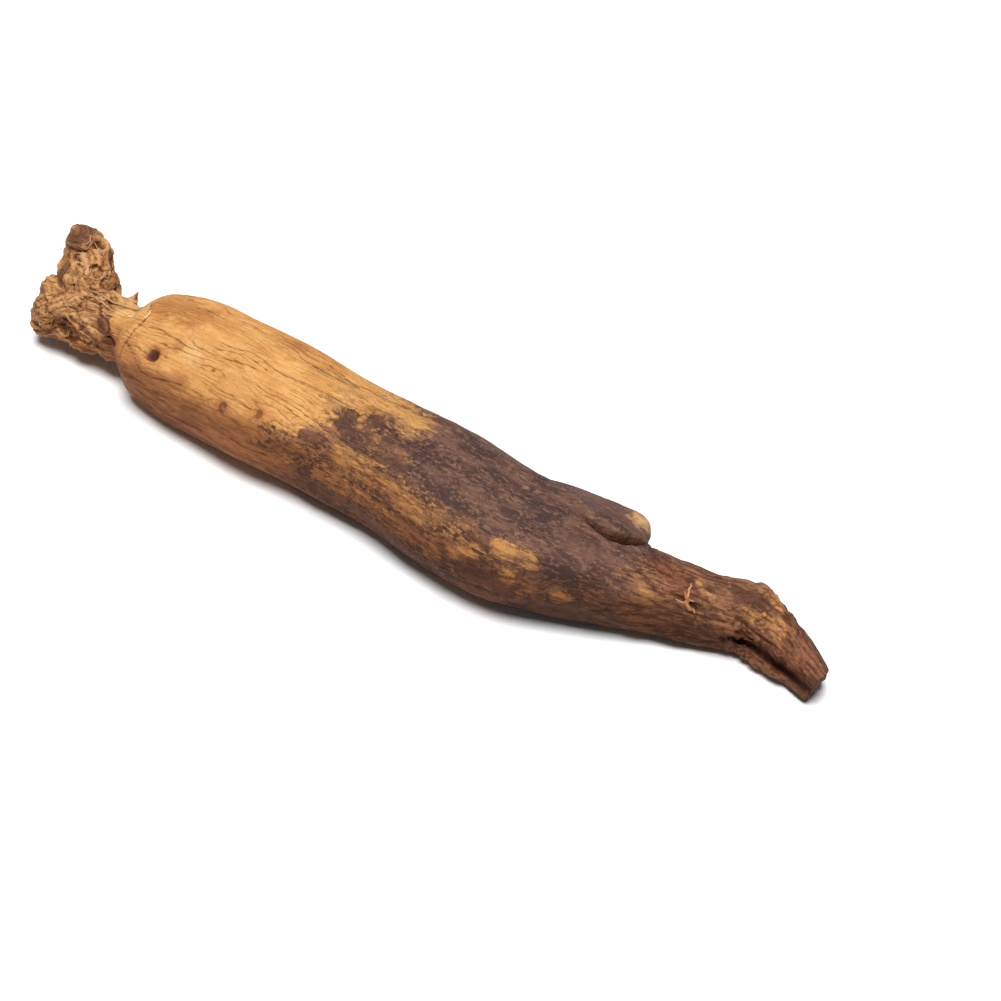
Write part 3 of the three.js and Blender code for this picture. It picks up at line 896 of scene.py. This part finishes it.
class Paint:
    """A material and its nodes. Most methods add nodes and return the output of the last one."""

    def __init__(self, name):
        self.material = bpy.data.materials.new(name)
        self.material.use_nodes = True
        self.tree = self.material.node_tree
        self.shader = self.tree.nodes["Principled BSDF"]

    def plug(self, socket, value):
        if isinstance(value, bpy.types.NodeSocket):
            self.tree.links.new(value, socket)
        else:
            socket.default_value = value

    def node(self, kind, inputs, **settings):
        """A new node with these settings, and with its inputs plugged in by name or number."""
        node = self.tree.nodes.new("ShaderNode" + kind)
        for name, value in settings.items():
            setattr(node, name, value)
        for name, value in inputs.items():
            self.plug(node.inputs[name], value)
        return node

    def attribute(self, name, output="Fac"):
        return self.node("Attribute", {}, attribute_name=name).outputs[output]

    def math(self, operation, a, b):
        return self.node("Math", {0: a, 1: b}, operation=operation).outputs[0]

    def share(self, mask, part):
        return self.math("MULTIPLY", mask, part)

    def opposite(self, mask):
        return self.math("SUBTRACT", 1.0, mask)

    def step(self, value, low, high):
        """From 0 at the low value to 1 at the high one."""
        inputs = {"Value": value, "From Min": low, "From Max": high}
        return self.node("MapRange", inputs, interpolation_type="SMOOTHSTEP").outputs[0]

    def noise(self, grain, waves, detail, roughness, distortion=0.0):
        """Noise in waves of these lengths along the grain and across it."""
        along, across = waves
        lengths = (along, across, across)
        inputs = {
            "Vector": self.node("VectorMath", {0: grain, 1: lengths}, operation="DIVIDE").outputs[0],
            "Scale": 1.0,
            "Detail": detail,
            "Roughness": roughness,
            "Distortion": distortion,
        }
        return self.node("TexNoise", inputs).outputs[0]

    def wrinkles(self, grain, count, bend):
        """Distance, in spacings, to the nearest of the lines that run with the grain."""
        place = self.node("SeparateXYZ", {0: grain}).outputs
        angle = self.math("ARCTAN2", place[2], place[1])
        turns = self.share(angle, count / (2 * math.pi))
        return self.math("PINGPONG", self.math("ADD", turns, bend), 0.5)

    def torn(self, mask, noise):
        """A soft mask torn by noise: nothing where it is 0, and whole where it is 1."""
        raised = self.math("ADD", self.share(noise, TEAR_NOISE), self.share(mask, TEAR_MASK))
        return self.step(raised, *TEAR_EDGE)

    def ragged(self, name, waves, streaky=False):
        """A mask of the mesh torn into patches or worn streaks, with specks along their edges."""
        mask = self.attribute(name)
        if streaky:
            mask = self.share(mask, WORN_STREAKS)
        patches = self.torn(mask, waves.long if streaky else waves.wide)
        specks = self.torn(mask, waves.fine)
        return self.math("ADD", self.share(patches, TORN_PATCHES), self.share(specks, TORN_SPECKS))

    def mix(self, share, a, b, blend="MIX"):
        inputs = {"Factor": share, "A": a, "B": b}
        return self.node("Mix", inputs, data_type="RGBA", blend_type=blend).outputs["Result"]

    def between(self, mask, rgb, other_rgb):
        """One colour where the mask is 0, and another where it is 1."""
        return self.mix(mask, linear(*rgb), linear(*other_rgb))

    def tint(self, colour, mask, part, rgb, blend="MIX"):
        """The colour with some of another over it, as far as the mask goes."""
        return self.mix(self.share(mask, part), colour, linear(*rgb), blend)

    def coats(self, colour, coats):
        """The colour with others over it, each with its mask, how much of it shows and its colour."""
        for mask, part, rgb in coats:
            colour = self.tint(colour, mask, part, rgb)
        return colour

    def deepen(self, colour, mask, hue_part, hue_rgb, shade_part, shade):
        """The colour turned to another hue and darkened, as far as the mask goes."""
        turned = self.tint(colour, mask, hue_part, hue_rgb, "COLOR")
        return self.mix(self.share(mask, shade_part), turned, shade + (1.0,), "MULTIPLY")

    def finish(self, colour, roughness, specular=0.5):
        self.plug(self.shader.inputs["Base Color"], colour)
        self.plug(self.shader.inputs["Roughness"], roughness)
        self.plug(self.shader.inputs["Specular IOR Level"], specular)


def skin_waves(paint):
    """Noises drawn out along the grain, which the skins share."""
    grain = paint.attribute("grain", "Vector")
    waves = SimpleNamespace(grain=grain)
    waves.wide = paint.step(paint.noise(grain, (5.5, 3), detail=9, roughness=0.68), 0.36, 0.64)
    waves.long = paint.step(paint.noise(grain, (4.4, 1.0), detail=7, roughness=0.65), 0.36, 0.64)
    waves.fine = paint.step(paint.noise(grain, (1.3, 0.7), detail=5, roughness=0.7), 0.34, 0.66)
    waves.dots = paint.step(paint.noise(grain, (0.8, 0.55), detail=3, roughness=0.6), 0.56, 0.63)
    waves.tear = paint.noise(grain, (3.4, 2.0), detail=10, roughness=0.76)
    waves.speckle = paint.noise(grain, (0.9, 0.45), detail=5, roughness=0.7)
    waves.patches = paint.noise(grain, (8, 4.4), detail=6, roughness=0.65)
    waves.streaks = paint.noise(grain, (5, 1.1), detail=6, roughness=0.65)
    waves.threads = paint.noise(grain, (6, 0.35), detail=3, roughness=0.6)
    waves.dark_threads = paint.opposite(paint.step(waves.threads, 0.36, 0.52))
    waves.pale_threads = paint.step(waves.threads, 0.54, 0.68)
    strokes = paint.noise(grain, (1.6, 0.65), detail=4, roughness=0.65, distortion=0.6)
    waves.strokes = paint.share(paint.step(strokes, 0.54, 0.66), paint.step(waves.streaks, 0.4, 0.58))
    flecks = paint.math("ADD", paint.share(waves.speckle, 0.6), paint.share(waves.tear, 0.4))
    waves.flecks = paint.step(flecks, 0.515, 0.575)
    return waves


def wrinkle_ink(paint, waves):
    """Fine dark lines in the wrinkles that run with the grain."""
    ink = 0.0
    for name, lines in WRINKLES.items():
        gap = paint.wrinkles(waves.grain, lines.count, paint.attribute(name + "_bend"))
        line = paint.opposite(paint.step(gap, 0.0, lines.ink_width))
        line = paint.share(line, paint.attribute(name + "_here"))
        ink = paint.math("MAXIMUM", ink, paint.share(line, lines.ink))
    return paint.share(ink, paint.step(waves.speckle, 0.25, 0.45))


def gold_skin(paint, waves, ink):
    """Gold skin with rusty marks and ink in its wrinkles; where it turns down, painted shade streaks it
    brown and darkens the ink.
    """
    under = paint.attribute("under")
    gold = paint.between(paint.step(waves.streaks, 0.3, 0.7), (194, 140, 79), (212, 161, 97))
    return paint.coats(gold, [
        (paint.step(waves.tear, 0.5, 0.64), 0.55, (170, 109, 55)),
        (paint.step(waves.patches, 0.48, 0.64), 0.45, (176, 110, 57)),
        (waves.dark_threads, 0.2, (145, 90, 46)),
        (waves.dots, 0.2, (140, 86, 46)),
        (paint.ragged("rust", waves), 0.42, (138, 80, 48)),
        # Painted shade: brown streaks, and darker ink, where the skin turns down.
        (paint.share(under, paint.step(waves.streaks, 0.47, 0.57)), 0.6, (108, 62, 35)),
        (paint.share(under, paint.step(waves.patches, 0.48, 0.58)), 0.35, (112, 64, 36)),
        (ink, paint.math("ADD", 0.42, paint.share(under, 0.4)), (124, 73, 40)),
    ])


def bark_skin(paint, waves):
    """Scabby brown skin with gold flecks."""
    bark = paint.between(paint.step(waves.patches, 0.44, 0.56), (142, 99, 68), (96, 66, 51))
    return paint.coats(bark, [
        (paint.step(waves.tear, 0.5, 0.56), 0.85, (66, 44, 37)),
        (waves.dark_threads, 0.45, (64, 42, 32)),
        (waves.flecks, 0.72, (178, 128, 82)),
        (waves.strokes, 0.5, (170, 124, 82)),
        (waves.dots, 0.55, (62, 41, 34)),
    ])


def bloom_skin(paint, waves):
    """Grey-purple skin near the side root."""
    bloom = paint.between(paint.step(waves.patches, 0.43, 0.57), (110, 79, 66), (68, 50, 46))
    return paint.coats(bloom, [
        (paint.step(waves.tear, 0.515, 0.56), 0.7, (62, 44, 40)),
        (waves.fine, 0.3, (66, 46, 42)),
        (waves.dark_threads, 0.25, (66, 45, 40)),
        (waves.flecks, 0.5, (142, 105, 80)),
        (waves.strokes, 0.65, (148, 110, 82)),
        (waves.dots, 0.45, (58, 40, 36)),
    ])


def leg_skin(paint, waves):
    """Dark fibrous skin with ochre flecks, and pale crumbs on the knee."""
    crumbs = paint.share(paint.attribute("knee"), paint.step(paint.attribute("hollow"), 0.03, -0.05))
    leg = paint.between(paint.step(waves.patches, 0.43, 0.57), (138, 94, 68), (92, 61, 47))
    return paint.coats(leg, [
        (paint.step(waves.tear, 0.515, 0.565), 0.75, (64, 40, 31)),
        (waves.fine, 0.3, (70, 44, 34)),
        (waves.flecks, 0.6, (160, 113, 72)),
        (waves.strokes, 0.6, (170, 123, 80)),
        (waves.pale_threads, 0.5, (154, 110, 74)),
        (waves.dark_threads, 0.7, (58, 35, 26)),
        (paint.share(crumbs, waves.fine), 0.4, (158, 113, 74)),
    ])


def crown_skin(paint, waves):
    """Crumpled skin, each plate with its own tone, with a painted highlight on its ridges."""
    crown = paint.between(paint.attribute("scale"), (146, 96, 58), (188, 140, 90))
    return paint.coats(crown, [
        (paint.step(waves.tear, 0.5, 0.57), 0.55, (108, 64, 38)),
        (paint.step(waves.tear, 0.48, 0.4), 0.5, (216, 160, 92)),
        (waves.dark_threads, 0.4, (98, 58, 36)),
        # Painted highlight on the crown's ridges.
        (paint.step(paint.attribute("hollow"), -0.01, -0.06), 0.36, (222, 178, 124)),
    ])


def body_skin(paint, waves, ink):
    """The skins of body, side root and leg, with scabs, worn gold patches and reddish places."""
    gold = gold_skin(paint, waves, ink)
    bark = bark_skin(paint, waves)
    scab = paint.mix(0.58, bark, linear(72, 49, 42))
    scabby = paint.torn(paint.attribute("stain"), waves.wide)
    worn = paint.mix(paint.share(paint.step(waves.streaks, 0.45, 0.56), 0.7), gold, bark)
    skin = paint.mix(paint.ragged("bark", waves), gold, bark)
    skin = paint.mix(paint.ragged("bloom", waves), skin, bloom_skin(paint, waves))
    skin = paint.tint(skin, paint.attribute("side_root"), 0.55, (106, 75, 67))
    skin = paint.mix(paint.ragged("leg", waves), skin, leg_skin(paint, waves))
    skin = paint.mix(paint.share(scabby, 0.9), skin, scab)
    skin = paint.mix(paint.share(paint.ragged("gold", waves, streaky=True), 0.85), skin, worn)
    return paint.deepen(skin, paint.attribute("red"), 0.55, (132, 76, 56), 0.35, RED_SHADE)


def finest_grain(paint, waves, ink):
    relief = paint.math("ADD", paint.share(waves.speckle, 0.5), paint.share(waves.threads, 0.5))
    relief = paint.math("ADD", relief, paint.share(waves.tear, 0.6))
    relief = paint.math("SUBTRACT", relief, paint.share(ink, 0.3))
    inputs = {"Height": relief, "Distance": GRAIN_HEIGHT * MM, "Strength": GRAIN_STRENGTH}
    return paint.node("Bump", inputs).outputs[0]


def root_skin():
    paint = Paint("root_skin")
    waves = skin_waves(paint)
    ink = wrinkle_ink(paint, waves)
    skin = body_skin(paint, waves, ink)
    skin = paint.mix(paint.ragged("crown", waves), skin, crown_skin(paint, waves))
    # Plum: dark skin, and painted shade in the shoulder pit, the split's floor and the stem's crease.
    skin = paint.tint(skin, paint.ragged("plum", waves), 0.75, (84, 54, 42))
    # Pale skin, and on the side root's tip a painted highlight.
    skin = paint.tint(skin, paint.ragged("pale", waves), 0.34, (226, 186, 128))
    # Painted shade on the flanks: turned brown and darkened where the skin turns down.
    skin = paint.deepen(skin, paint.attribute("under"), 0.8, (112, 68, 40), 1.0, FLANK_PAINTED_SHADE)
    # Painted shade in the hollows, fine and broad.
    skin = paint.tint(skin, paint.step(paint.attribute("hollow"), 0.01, 0.07), 0.6, (74, 40, 24))
    skin = paint.tint(skin, paint.step(paint.attribute("basin"), 0.06, 0.4), 0.65, (62, 33, 21))
    paint.finish(skin, roughness=0.65, specular=0.12)
    paint.plug(paint.shader.inputs["Normal"], finest_grain(paint, waves, ink))
    return paint.material


def fibre_skin():
    paint = Paint("fibre_skin")
    colour = paint.between(paint.attribute("tone"), (150, 95, 55), (232, 198, 148))
    paint.finish(colour, roughness=0.6, specular=0.3)
    return paint.material


def build_root():
    mesh = remeshed_copy(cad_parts["ginseng_root"])
    surface = Surface(mesh)
    grain, masks = shape_skin(surface)
    move_to(mesh, surface.points)
    build_loose_pieces(mesh)
    move_to(mesh, in_metres(surface.points))
    mesh.attributes.new("grain", "FLOAT_VECTOR", "POINT").data.foreach_set("vector", grain.ravel())
    for name, values in masks.items():
        mesh.attributes.new(name, "FLOAT", "POINT").data.foreach_set("value", values)
    mesh.shade_smooth()
    mesh.materials.clear()
    mesh.materials.append(root_skin())
    root = add_object("root_surface", mesh)
    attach(root, "root")
    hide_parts("ginseng_root")


def build_stage():
    bpy.ops.mesh.primitive_plane_add(size=FLOOR_SIZE)
    floor = bpy.context.object
    floor.name = "floor"
    paint = Paint("floor")
    paint.finish(linear(*FLOOR_COLOUR), roughness=0.9)
    floor.data.materials.append(paint.material)


def look_at(obj, place, target):
    obj.location = place
    obj.rotation_euler = (Vector(target) - Vector(place)).to_track_quat("-Z", "Y").to_euler()


def build_camera():
    """A camera at the photograph's viewing angle."""
    target = in_metres(np.array(CAMERA_TARGET))
    back = np.array((
        math.sin(CAMERA_AZIMUTH) * math.cos(CAMERA_ELEVATION),
        -math.cos(CAMERA_AZIMUTH) * math.cos(CAMERA_ELEVATION),
        math.sin(CAMERA_ELEVATION),
    ))
    data = bpy.data.cameras.new("photo_view")
    data.lens = CAMERA_LENS
    data.clip_start = CAMERA_NEAR
    camera = add_object("photo_view", data)
    look_at(camera, tuple(target + CAMERA_DISTANCE * back), tuple(target))
    bpy.context.scene.camera = camera


def build_sky():
    """Faint white light from all sides."""
    world = bpy.data.worlds.new("studio")
    world.use_nodes = True
    background = world.node_tree.nodes["Background"]
    background.inputs["Color"].default_value = (1.0, 1.0, 1.0, 1.0)
    background.inputs["Strength"].default_value = SKY_STRENGTH
    bpy.context.scene.world = world
    bpy.context.scene.view_settings.view_transform = "Standard"


def build_light():
    """A soft light from above that is even all over the floor."""
    light = bpy.data.lights.new("overhead", "SUN")
    light.angle = LIGHT_WIDTH
    light.energy = LIGHT_STRENGTH
    look_at(add_object("overhead", light), LIGHT_FROM, (0, 0, 0))


build_root()
build_stage()
build_camera()
build_sky()
build_light()
